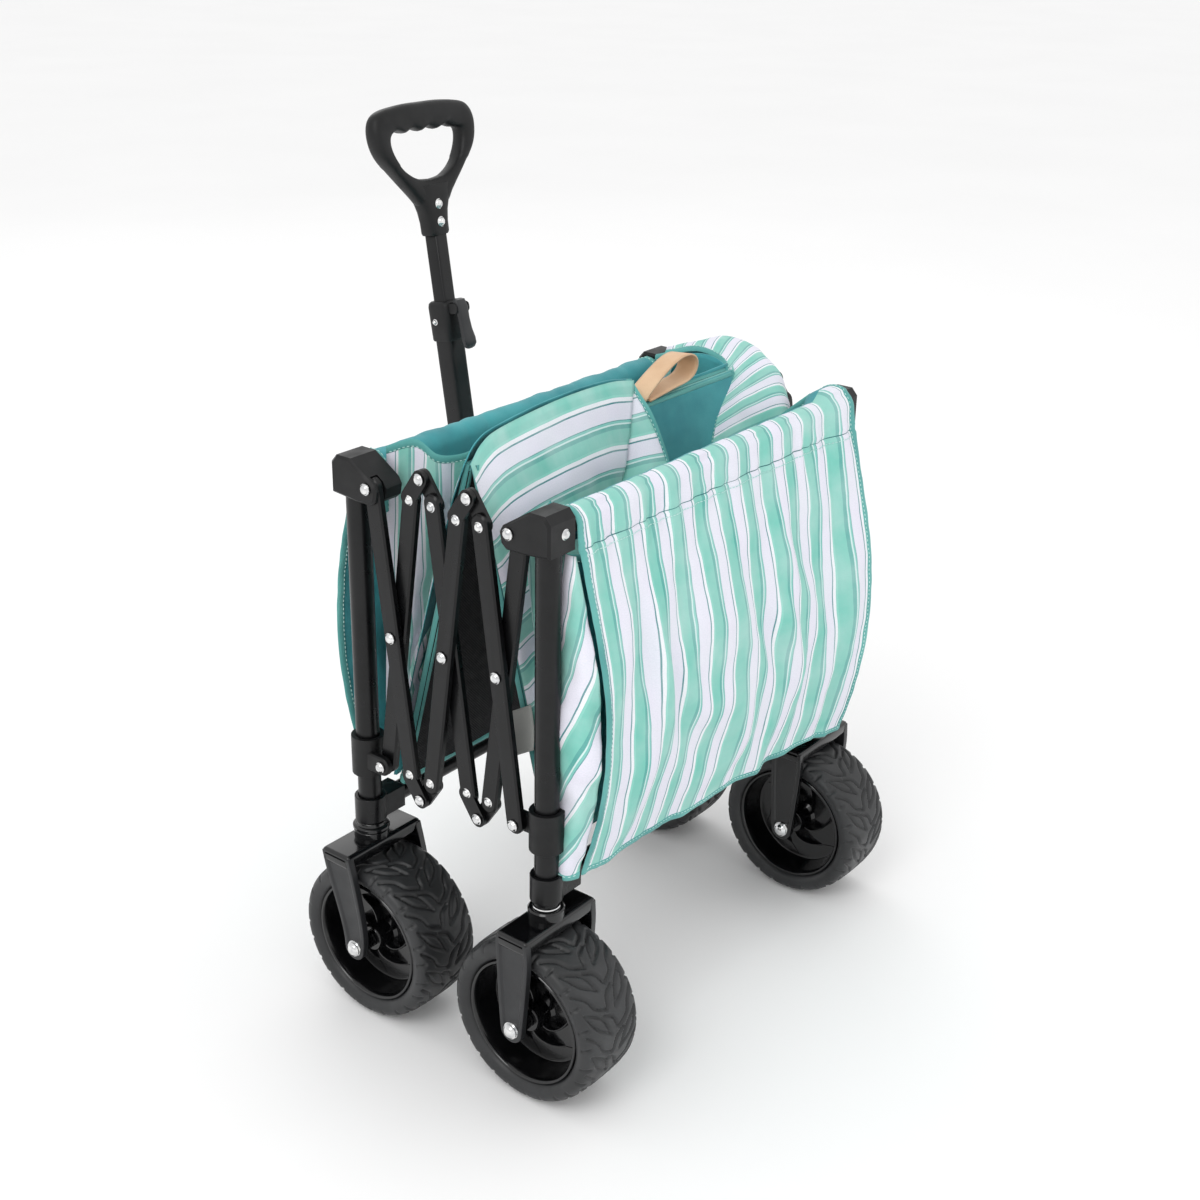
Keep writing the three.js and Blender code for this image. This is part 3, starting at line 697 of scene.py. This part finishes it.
def hub():
    """One wheel centre: a deep dish with curved ribs on both sides and a boss."""
    dish = [(69.6, -37.5), (68.8, -38.4), (66.6, -38.4), (65.4, -37), (64.6, -30), (60, -9), (57, -8),
            (20, -8), (16.5, -11), (15, -28), (13.6, -30), (0, -30)]
    profile = dish[::-1] + [(r, -h) for r, h in dish]
    parts = [(*lathe(profile, (0, 0, 0), (1, 0, 0), 72), GLOSS)]
    for side in (-1, 1):
        for k in range(6):
            spine = []
            for t in np.linspace(0, 1, 14):
                radius = 14 + 46 * t
                turn = k * math.pi / 3 + side * 0.55 * math.sin(math.pi * (t - 0.5))
                high = 8 + 13 * (1 - 0.35 * t) * math.sin(math.pi * min(1, 0.35 + t)) ** 0.4
                spine.append((radius * math.cos(turn), radius * math.sin(turn), high))
            spine = np.array(spine)
            ahead = unit(np.gradient(spine[:, :2], axis=0))
            rings = []
            for (y, z, high), (down, out) in zip(spine, ahead):
                foot, top, brow = side * 7.5, side * high, side * (high - 1.0)
                section = [(foot, 1.5), (brow, 1.1), (top, 0.5), (top, -0.5), (brow, -1.1), (foot, -1.5)]
                rings.append([(x, y - out * w, z + down * w) for x, w in section])
            parts.append((*loft(rings), GLOSS))
    return parts


TYRE_MESH = tyre()
HUB_PARTS = hub()
for end in ENDS:
    for label in SIDES:
        fork(label, end)
        centre = JOINTS[f"wheel_spin_{end}_{label}"] - SHIFT
        body = f"wheel_{end}_{label}"
        piece(f"{end}_wheel_tyre_{label}", [(TYRE_MESH[0] + centre, TYRE_MESH[1], RUBBER)], body,
              (f"{end}_tyre_{label}",), crease=60.0)
        parts = [(points + centre, faces, material) for points, faces, material in HUB_PARTS]
        piece(f"{end}_wheel_hub_{label}", parts, body, (f"{end}_hub_{label}",))


# ---- pull handle ----
POLE_AXIS = np.array(next(j["axis"] for j in frame["joints"] if j["name"] == "handle_telescope"))
POLE_FOOT = JOINTS["handle_swing"] - SHIFT
POLE_X = np.array([1.0, 0, 0])
POLE_Y = np.cross(POLE_AXIS, POLE_X)


def on_pole(x, y, s):
    return POLE_FOOT + x * POLE_X + y * POLE_Y + s * POLE_AXIS


def pole_tube(half, low, high):
    return tube(soft_square(half, half, 6.0), on_pole(0, 0, low), on_pole(0, 0, high), POLE_X, POLE_Y)


LATCH_S = 470.0  # up the pole to the lower tube's mouth
knuckle = lathe([(0, 0), (11, 0), (12, 1), (12, 27), (11, 28), (0, 28)], on_pole(-14, 0, 0), POLE_X)
piece("pole_lower", [(*knuckle, STEEL), (*pole_tube(12.3, 6, LATCH_S), STEEL)], "handle_lower",
      ("handle_lower_tube",))
piece("pole_upper", [(*pole_tube(9.3, 110, 600), STEEL)], "handle_upper",
      ("handle_upper_tube",))


def latch():
    """The sleeve on the lower tube's mouth, with the ears that hold the lever."""
    section = soft_square(1, 1)
    shape = ((448, 12.6), (448.2, 14.2), (450, 15), (486, 15.4), (490, 14.6), (492, 12.4), (492, 9.8))
    sleeve = loft([[on_pole(a * half, b * half, s) for a, b in section] for s, half in shape])
    parts = [(*sleeve, PLASTIC)]
    for x in (-1, 1):
        ear = tube(soft_square(7, 6, 3.0, 24), on_pole(x * 8.6, -20, 484), on_pole(x * 10.6, -20, 484),
                   POLE_Y, POLE_AXIS)
        parts.append((*ear, PLASTIC))
        parts.append(rivet_head(on_pole(x * 15.2, 4, LATCH_S), x * POLE_X, 2.6))
    return parts


def lever():
    """A thumb lever: wide and waisted, with a rounded lip at its foot."""
    shape = ((494, 5, -20, 2), (493, 7.6, -21, 4.4), (485, 8.4, -24, 4.6), (472, 7.6, -25.5, 3.6),
             (460, 8.2, -27, 3.4), (450, 9.4, -29, 3.8), (444, 9.0, -30, 3.6), (440, 6.6, -29.5, 2.6),
             (438.6, 3, -29, 1.2))
    rings = [[on_pole(a, y + b, s) for a, b in soft_square(half, thick, 3.2, 28)]
             for s, half, y, thick in shape]
    return [(*loft(rings), SATIN)]


piece("latch_sleeve", latch(), "handle_lower", ("handle_latch_housing",))
piece("thumb_lever", lever(), "latch_lever", ("handle_latch_lever",))


def grip():
    """A D ring with a waved finger side, on a flaring neck with two rivets."""
    count, middle_s = 120, 655
    side = [(20, 596), (30, 608), (52, 632), (72, middle_s), (78, 676), (74, 693), (60, 701), (30, 704.5)]
    outer = curve([*mirrored(side), (0, 705), *side[::-1], (0, 592), (-20, 596)], count + 1)[:-1]
    side = [(22, 627), (42, 639), (53, 658), (53, 672)]
    wave = [(x, 678 - (3.4 if k % 2 else 0)) for k, x in enumerate(range(-42, 43, 12))]
    inner = curve([(0, 624), *mirrored(side), *wave, *side[::-1], (0, 624)], 6 * count)
    angles = np.arctan2(inner[:, 1] - middle_s, inner[:, 0])
    rows = []
    for x, s in outer:
        here = math.atan2(s - middle_s, x)
        turn = np.abs((angles - here + math.pi) % (2 * math.pi) - math.pi)
        inside = inner[int(np.argmin(turn))]
        middle, half = (np.array([x, s]) + inside) / 2, (np.array([x, s]) - inside) / 2
        deep = 11.5 if s > 640 else 10.5
        row = []
        for k in np.arange(20) * 2 * math.pi / 20:
            c, w = math.cos(k), math.sin(k)
            flat = middle + half * math.copysign(abs(c) ** 0.8, c)
            row.append(on_pole(flat[0], deep * math.copysign(abs(w) ** 0.75, w), flat[1]))
        rows.append(row)
    ring = (np.array(rows).reshape(-1, 3), grid_faces(count, 20, True, True), PLASTIC)
    shape = ((564, 13.2), (564.6, 14.6), (567, 15.4), (578, 15.6), (590, 18), (602, 23), (612, 28), (618, 30))
    neck = loft([[on_pole(a, b, s) for a, b in soft_square(half, 11.2 if s > 566 else 10.2, 3.4, 40)]
                 for s, half in shape])
    parts = [ring, (*neck, PLASTIC)]
    for face in (-1, 1):
        for s in (578, 597):
            parts.append(rivet_head(on_pole(0, face * 11, s), face * POLE_Y, 4.6))
    return parts


piece("d_grip", grip(), "handle_upper", ("handle_grip",))


# ---- floor boards ----
MIDDLE_Y = 2.17  # the two boards mirror about this plane
HINGE_Y, HINGE_Z = 103.0 - MIDDLE_Y, 256.0
TILT = math.radians(75.4)
BOARD, BOARD_T, BOARD_HALF = 399.5, 8.0, 220.0


def on_board(end, x, s, n):
    """A point across a board, up it, and off its lower face."""
    y = HINGE_Y - s * math.cos(TILT) + n * math.sin(TILT)
    return np.array([x, MIDDLE_Y + ENDS[end] * y, HINGE_Z + s * math.sin(TILT) + n * math.cos(TILT)])


def off_board(end):
    """The direction square off a board's upper face."""
    return on_board(end, 0, 0, 1) - on_board(end, 0, 0, 0)


def board(end):
    """A stiff panel in a sewn cover: lining above, black netting below, bound all round."""
    seed = 11.0 if end == "front" else 23.0
    columns, rows = 45, 41
    layers = np.zeros((2, rows, columns, 3))
    for layer, n, puff in zip(layers, (BOARD_T, 0.0), (0.9, -0.5)):
        for i in range(rows):
            for j in range(columns):
                a, b = i / (rows - 1), j / (columns - 1)
                edge = min(a, 1 - a, b, 1 - b)
                lift = puff * min(1, edge * 8) + 0.7 * bumps(a * 7, b * 8, n + seed)
                layer[i, j] = on_board(end, (2 * b - 1) * BOARD_HALF, a * BOARD, n + lift * (edge > 0))
    top, back = layers
    cover = two_layers(f"{end}_board_cover", top, back, laid_flat(top, 440, 400), LINING, NETTING)
    attach(cover, f"floor_{end}", (f"floor_{end}",))
    grid = top - off_board(end) * BOARD_T / 2
    parts = []
    for which, width in (("top", 14.0), ("foot", HEM), ("left", HEM), ("right", HEM)):
        parts.append((*tape(*edge_lines(grid, which), width, 10.4), BINDING))
    piece(f"{end}_board_binding", parts, f"floor_{end}")


for end in ENDS:
    board(end)


# ---- pull strap ----
def strap():
    """A webbing loop sewn to the rear board's top edge."""
    path = curve([(44, 2, 648), (52, 1, 656), (74, -1, 671), (98, -3, 683), (118, -4, 685),
                  (130, -4, 677), (130, -3, 665), (118, -2, 657), (92, 0, 653), (52, 1, 648)], 60)
    rows = []
    for i, p in enumerate(path):
        t = i / (len(path) - 1)
        lean = unit([0.12, -1.0, 0.1 * math.sin(5 * t)])
        curl = 0.35 * math.sin(9 * t)
        rows.append([p + lean * (w * 12.5) + (0, 0, curl * w) for w in np.linspace(-1, 1, 7)])
    grid = np.array(rows)
    cloth_piece("webbing_loop", grid, laid_flat(grid, 25, 260), (0, 0, 1), "floor_rear",
                ("pull_strap",), (BEIGE, BEIGE, "webbing"), thick=2.0)


strap()


# ---- end flaps ----
SEAM_S = 44.0  # from the top line down to the sleeve's seam
SLEEVE_R = 13.4  # the sleeve round a top rail
LEAN_HALF = 42.0  # half the width that the pull handle can lean on


def ramp(value, start, long):
    return float(np.clip((value - start) / long, 0, 1))


def flap_path(belly, foot_z, inner_hem):
    """(outwards, z) points down a flap, from its inner hem over the rail to its foot."""
    seam_z, foot_out = 604, 12
    hem = [(-SLEEVE_R, RAIL_Z - inner_hem), (-14.2, RAIL_Z - inner_hem * 0.6)]
    over = [(SLEEVE_R * math.cos(k), RAIL_Z + SLEEVE_R * math.sin(k)) for k in np.linspace(math.pi, 0, 13)]
    down = []
    for u in np.linspace(0, 1, 24):
        out = 15 + belly * math.sin(math.pi * u**1.15) + foot_out * u**2
        down.append((out, seam_z - u * (seam_z - foot_z)))
    return curve([*hem, *over, *down], 150)


def flap(end, low, high, belly, flare, foot_z, seed):
    """An end flap sleeved over its top rail, puckered at the seam and hanging in soft folds."""
    way, body = ENDS[end], f"{end}_frame"
    path = flap_path(belly, foot_z, 46 if way > 0 else 30)
    step = run(path)
    crest = int(np.argmax(path[:, 1]))
    xs = np.linspace(low, high, 181)
    slope = unit(np.gradient(path, axis=0))
    grid = np.zeros((len(path), len(xs), 3))
    flat = np.zeros_like(grid)
    for i, ((out, z), (slope_out, slope_z)) in enumerate(zip(path, slope)):
        s = step[i] - step[crest]
        below = ramp(s, SEAM_S, 130)
        hang = math.sin(math.pi * min(1.0, max(0.0, s / 380)) ** 0.9)
        seam, line = (math.exp(-(((s - SEAM_S) / reach) ** 2)) for reach in (22, 2.4))
        for j, x in enumerate(xs):
            margin = float(np.clip(min(x - low, high - x) / 50, 0.1, 1))
            drift = bumps(x / 120, s / 210, seed)
            pucker = 1.7 * seam * math.sin(x / 4.4 + 6 * bumps(x / 55, 0.2, seed + 3))
            folds = 5.5 * math.sin((x + 0.22 * s) / 19 + 4.5 * drift)
            folds += 2.6 * math.sin((x - 0.3 * s) / 11 + 7 * drift)
            lift = pucker + below * margin * folds * (0.35 + 0.65 * hang)
            lift += (1.1 if s < SEAM_S else 3.2 * margin) * bumps(x / 40, s / 52, seed + 7)
            lift += 0.8 * bumps(x / 13, s / 17, seed + 9) - 1.7 * line
            lift += (1 - below) * 1.8 * math.sin(x / 14 + 3 * drift)
            lift = lift if s > 6 else 0.5 + 0.5 * abs(lift)  # never into the rail
            lift += flare * hang * (abs(x) / high) ** 3
            sway = below * 4.0 * bumps(x / 80, s / 110, seed + 13)
            sway += (1 - below) * 1.6 * bumps(x / 24, s / 30, seed + 17)
            drop = 0.0
            if way > 0 and s > 0:  # pressed in where the handle can lean on it
                clear = 18.0 + 0.109 * (z - 240.0)
                lift -= max(0.0, out + lift - clear) * math.exp(-((x / LEAN_HALF) ** 4))
            if way < 0:  # runs past the far cap and hangs lower on that side
                far, middle = max(0.0, x / high) ** 3, math.sin(math.pi * ramp(s, 20, 340))
                sway -= 0.045 * max(0.0, s - 60) * (x < 0) + 16.0 * middle * far
                lift += 9.5 * ramp(x, 208, 16)
                drop = 27.0 * ramp(s, 60, 300) * (x - low) / (high - low)
            y = way * (POST_Y + out - slope_z * lift)
            grid[i, j] = (x + sway * margin, y, z + slope_out * lift - drop)
            flat[i, j] = (x - low + 4, step[i], 0)
    lined = crest + (4 if way > 0 else -1)
    obj = cloth_piece(f"{end}_flap_cloth", grid, flat, (0, way, 0.1), body, (f"{end}_flap",), lined=lined)
    hem = bind(f"{end}_flap_binding", grid, ("left", "right", "foot"), body, (1, -1))
    row = int(np.argmin(np.abs(step - step[crest] - SEAM_S)))
    normal = surface_normals(grid)
    normal *= np.sign(way * normal[60:, :, 1].mean())
    under = max(2, crest - 14)
    stitched = [stitches(grid[k], normal[k], 4.4, 3.4, 1.1) for k in (row + 2, under)]
    # painted shade: a thin dark tape in the seam_shadow colour along the seam's crease, and the stitches
    # under the rail in the same colour
    seam_shadow_tape = tape(grid[row], np.tile([0, 0, -1.0], (len(xs), 1)), normal[row], 1.6, 1.7)
    parts = [(*stitched[0], THREAD), (*seam_shadow_tape, SEAM), (*stitched[1], SEAM)]
    sewing = piece(f"{end}_flap_seam", parts, body)
    return grid


flap("front", -233.0, 233.0, 22, 20, 258, 31.0)
REAR_FLAP = flap("rear", -229.0, 254.0, 34, 4, 250, 47.0)


# ---- side walls, folded inwards ----
WALL_HALF, WALL_HIGH = 410.0, 374.0
CLOSING = 0.97  # how far a triangle's grid runs towards its last corner


def rumple(grid, size, seed, reach=55.0, keep=()):
    """Soft folds pushed out of a sheet, fading out towards its kept edges."""
    normal = surface_normals(grid)
    rows, columns, _ = grid.shape
    moved = grid.copy()
    for i in range(rows):
        for j in range(columns):
            fade = 1.0
            for where in keep:
                gap = {"top": i, "foot": rows - 1 - i, "left": j, "right": columns - 1 - j}[where]
                fade *= min(1.0, 0.1 + gap / 6)
            x, y, z = grid[i, j] / reach
            lift = noise.noise(Vector((x + seed, y, z)))
            lift += 0.5 * noise.noise(Vector((2 * x, 2 * y + seed, 2 * z)))
            moved[i, j] += normal[i, j] * lift * size * fade
    return moved


def post_panel(end, label, rim_points, seed, size, pleat=0.0):
    """The half of a side wall between its post, the rim and the diagonal fold."""
    way = ENDS[end]
    rows, columns = 34, 56
    rim = curve(rim_points, columns)
    foot = np.array([SIDES[label] * 230.0, 121.0 if way > 0 else -117.0, 264.0])
    t = np.linspace(0, 1, columns)
    down = CLOSING * np.arange(rows)[:, None] / (rows - 1)
    grid = rim + (foot - rim) * down[..., None]
    flat = np.zeros_like(grid)
    flat[..., 0] = t * WALL_HALF * (1 - down)
    flat[..., 1] = WALL_HIGH * down
    wave = pleat * np.sin(t * 2 * math.pi * 6.5 + 0.6) * np.minimum(1, 5 * t) * np.minimum(1, 5 - 5 * t)
    deep = np.minimum(1, 0.25 + np.arange(rows) / 14)[:, None]
    grid = grid + surface_normals(grid) * (wave * deep)[..., None]
    grid = rumple(grid, size, seed, keep=("left",))
    name, body = f"{end}_{label}_wall_post_side", f"side_{end}_{label}_post"
    obj = cloth_piece(name, grid, flat, (0, -way, 0), body, (f"side_{end}_{label}_post_panel",))
    hem = bind(name + "_binding", grid, ("top",), body, (1, -1))


def floor_panel(end, label, ridge_points, seed, size, belly):
    """The half of a side wall that is sewn to a board's edge and folded over the board."""
    rows, columns = 60, 50
    edge = curve([on_board(end, SIDES[label] * 224.0, s, 12.5) for s in (396, 260, 130, 6)], rows)
    ridge = curve(ridge_points, columns)
    across, down = np.linspace(0, 1, columns), np.linspace(0, 1, rows)[:, None]
    share = 1 - CLOSING * down
    grid = edge[:, None] + (ridge - ridge[0]) * share[..., None]
    grid += (ridge[0] - edge[0]) * share[..., None] ** 4
    puff = belly * np.sin(math.pi * across**0.7) ** 0.8
    puff = puff * np.minimum(1, 6 * down) * np.minimum(1, 4 - 4 * down) + 2.5 * np.minimum(1, 9 * down)
    grid += off_board(end) * puff[..., None]
    flat = np.zeros_like(grid)
    flat[..., 0] = WALL_HALF * share
    flat[..., 1] = WALL_HIGH * across * share
    grid = rumple(grid, size, seed, 60.0, keep=("left", "top"))
    obj = cloth_piece(f"{end}_{label}_wall_floor_side", grid, flat, (0, ENDS[end], 0.1),
                      f"side_{end}_{label}_floor", (f"side_{end}_{label}_floor_panel",))


NEAR_RIDGE = [(-224, 2, 646), (-207, 3, 662), (-178, 4, 671), (-90, 4, 679), (-10, 3, 679), (36, 3, 672)]
FAR_RIDGE = [(224, 2, 650), (150, 3, 648), (40, 3, 646), (-60, 3, 645), (-146, 2, 644)]
SLIPPED_RIDGE = [(224, 2, 650), (214, 0, 622), (180, -1, 588), (130, -1, 566), (40, -1, 556), (-146, 0, 560)]
NEAR_R = NEAR_RIDGE[-1]
post_panel("rear", "left", [(-228, -104, 634), (-226, -74, 598), (-204, -60, 566), (-150, -72, 548),
                            (-76, -84, 528), (-8, -78, 540), (28, -58, 588), (36, -26, 638), NEAR_R],
           3.0, 7.0, 6.0)
post_panel("front", "left", [(-226, 108, 640), (-214, 80, 650), (-204, 58, 636), (-166, 48, 634),
                             (-80, 46, 644), (-14, 34, 660), (20, 16, 670), NEAR_R],
           5.0, 5.0, 3.0)
post_panel("rear", "right", [(228, -104, 634), (204, -78, 606), (150, -62, 574), (60, -58, 556),
                             (-40, -50, 546), (-110, -32, 552), (-146, -14, 560)], 7.0, 4.0)
post_panel("front", "right", [(226, 108, 640), (214, 78, 650), (180, 58, 646), (80, 46, 636),
                              (-40, 40, 634), (-146, 24, 636)], 9.0, 3.0)
for index, (end, way) in enumerate(ENDS.items()):
    for label, side in SIDES.items():
        if label == "left":
            ridge, size, belly = NEAR_RIDGE, 5.0, 14.0 if way < 0 else 7.0
        else:
            ridge, size, belly = SLIPPED_RIDGE if way < 0 else FAR_RIDGE, 4.0, 4.0
        lifted = [(x, y + way * 3.5, z) for x, y, z in ridge]
        floor_panel(end, label, lifted, 13.0 + index + side, size, belly)


# ---- far wall's spare cloth ----
def squash_flat(*cloths):
    for cloth in cloths:
        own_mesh(cloth)


def bulge():
    """Spare cloth of the right wall, ballooned outwards over the scissor bars."""
    rows, columns = 40, 30
    rim = curve([(222, 92, 645), (228, 46, 656), (222, 8, 646), (196, -6, 622), (164, -16, 592),
                 (140, -26, 560)], rows)
    crown = curve([(236, 96, 644), (262, 52, 664), (272, 14, 664), (262, -24, 652), (240, -56, 628),
                   (220, -78, 590)], rows)
    outer = curve([(240, 98, 620), (276, 56, 630), (288, 14, 622), (286, -26, 596), (268, -60, 570),
                   (236, -84, 550)], rows)
    lines = [rim, rim * 0.45 + crown * 0.55 + (0, 0, 5), crown, (crown + outer) / 2 + (5, 0, 5), outer]
    grid = np.array([curve(points, columns) for points in zip(*lines)])
    grid = rumple(grid, 4.0, 21.0, 40.0, keep=("left",))
    flat = laid_flat(grid, 150, 9 * (rows - 1))[..., (1, 0, 2)]
    obj = cloth_piece("right_wall_bulge", grid, flat, (0.3, -0.2, 1), "rear_frame")
    hem = bind("right_wall_bulge_binding", grid, ("left",), "rear_frame")
    squash_flat(obj, hem)


def pocket():
    """The right wall's lining, hanging inside the bulge's bound rim."""
    top = curve([(222, 100, 640), (227, 60, 652), (226, 30, 654), (221, 4, 644), (200, -10, 620)], 34)
    grid = np.array([top + (7 * math.sin(3 * t) - 3.0, 0, -110 * t) for t in np.linspace(0, 1, 20)])
    grid = rumple(grid, 4.0, 71.0, 44.0)
    obj = cloth_piece("right_wall_pocket", grid, laid_flat(grid, 130, 110), (1, 0, 0), "rear_frame")
    squash_flat(obj)


bulge()
pocket()


# ---- cloth between the rear posts and the flap ----
def corner_return(label, side):
    """Wall cloth that comes round the rear post's inner side and meets the flap's edge."""
    edge = REAR_FLAP[:, 0 if side < 0 else -1]
    top_z, long = 590, 340
    rows = [p for p in edge[::2] if p[1] < -POST_Y - 14 and p[2] < top_z]
    grid = []
    for p in rows:
        droop = (top_z - p[2]) / long
        belly = math.sin(math.pi * droop)
        post = np.array([side * (228 + 14 * belly), -108.0, p[2] + 4])
        middle = (post + p) / 2 + (side * (7 + 9 * droop), -6 - 10 * belly, -8 * droop)
        grid.append(curve([post, middle, p + (side * 2, 5, -4 * droop)], 26))
    grid = rumple(np.array(grid), 5.0, 61.0 + side, 38.0, keep=("top",))
    flat = np.zeros_like(grid)
    down, across = np.array([top_z - p[2] for p in rows])[:, None], np.linspace(0, 60, 26)
    flat[..., 0] = across + 0.4 * down
    flat[..., 1] = 0.9 * down - 0.4 * across
    obj = cloth_piece(f"rear_{label}_corner_cloth", grid, flat, (side, -0.4, 0), "rear_frame")
    hem = bind(f"rear_{label}_corner_binding", grid, ("foot",), "rear_frame")


for label, side in SIDES.items():
    corner_return(label, side)


# ---- blank label ----
def label_tag():
    rows = []
    for t in np.linspace(0, 1, 12):
        out = -228 - 8 * t + 3 * math.sin(3 * t)
        rows.append([(out, -68 - w * 26 - 10 * t, 408 - 44 * t + 16 * w) for w in np.linspace(-0.5, 0.5, 8)])
    grid = np.array(rows)
    obj = cloth_piece("blank_tag", grid, laid_flat(grid, 26, 50), (-1, -0.3, 0), "rear_frame",
                      looks=(LABEL, LABEL, "lining_fabric"), thick=0.6)


label_tag()


# ---- camera, floor and light ----
def camera():
    """A 51.5 mm lens behind and left of the cart, looking down and turned slightly."""
    azimuth, elevation, roll = (math.radians(a) for a in (-52.48, 23.57, 1.14))
    back = Vector((math.sin(azimuth) * math.cos(elevation), -math.cos(azimuth) * math.cos(elevation),
                   math.sin(elevation)))
    right = (-back).cross(Vector(UP)).normalized()
    up = right.cross(-back)
    x = math.cos(roll) * right + math.sin(roll) * up
    y = -math.sin(roll) * right + math.cos(roll) * up
    data = bpy.data.cameras.new("camera")
    data.lens = 51.5
    data.sensor_width = 36
    obj = add_object("camera", data)
    turn = Matrix((x, y, back)).transposed().to_4x4()
    obj.matrix_world = Matrix.Translation(Vector(to_row([-1380.17, -1048.86, 1185.54])[0])) @ turn
    scene.camera = obj


def floor():
    mesh = bpy.data.meshes.new("floor")
    reach = 60.0
    corners = [(-reach, -reach, 0), (reach, -reach, 0), (reach, reach, 0), (-reach, reach, 0)]
    mesh.from_pydata(corners, [], [(0, 1, 2, 3)])
    n = Nodes("pale_floor", Specular_IOR_Level=0.1)
    tone = n.mix(n.remap(n.noise(1.5)), "FEFEFE", "FCFCFC")
    mesh.materials.append(n.finish(tone, n.remap(n.noise(3.0), 0.8, 0.95)))
    add_object("floor", mesh)


def lamp(name, place, size, power):
    data = bpy.data.lights.new(name, "AREA")
    data.size = size
    data.energy = power
    obj = add_object(name, data)
    obj.location = place
    obj.rotation_euler = (Vector((0, 0, 0.4)) - Vector(place)).to_track_quat("-Z", "Y").to_euler()


camera()
floor()
lamp("key", (-2.6, -0.6, 3.0), 1.6, 30)
lamp("fill", (1.6, -3.0, 2.0), 2.4, 6)
lamp("back", (1.8, 2.6, 2.6), 2.0, 10)
world = bpy.data.worlds.new("studio")
world.use_nodes = True
background = world.node_tree.nodes["Background"].inputs
background["Color"].default_value = (1, 1, 1, 1)
background["Strength"].default_value = 0.95
scene.world = world
scene.view_settings.view_transform = "Standard"
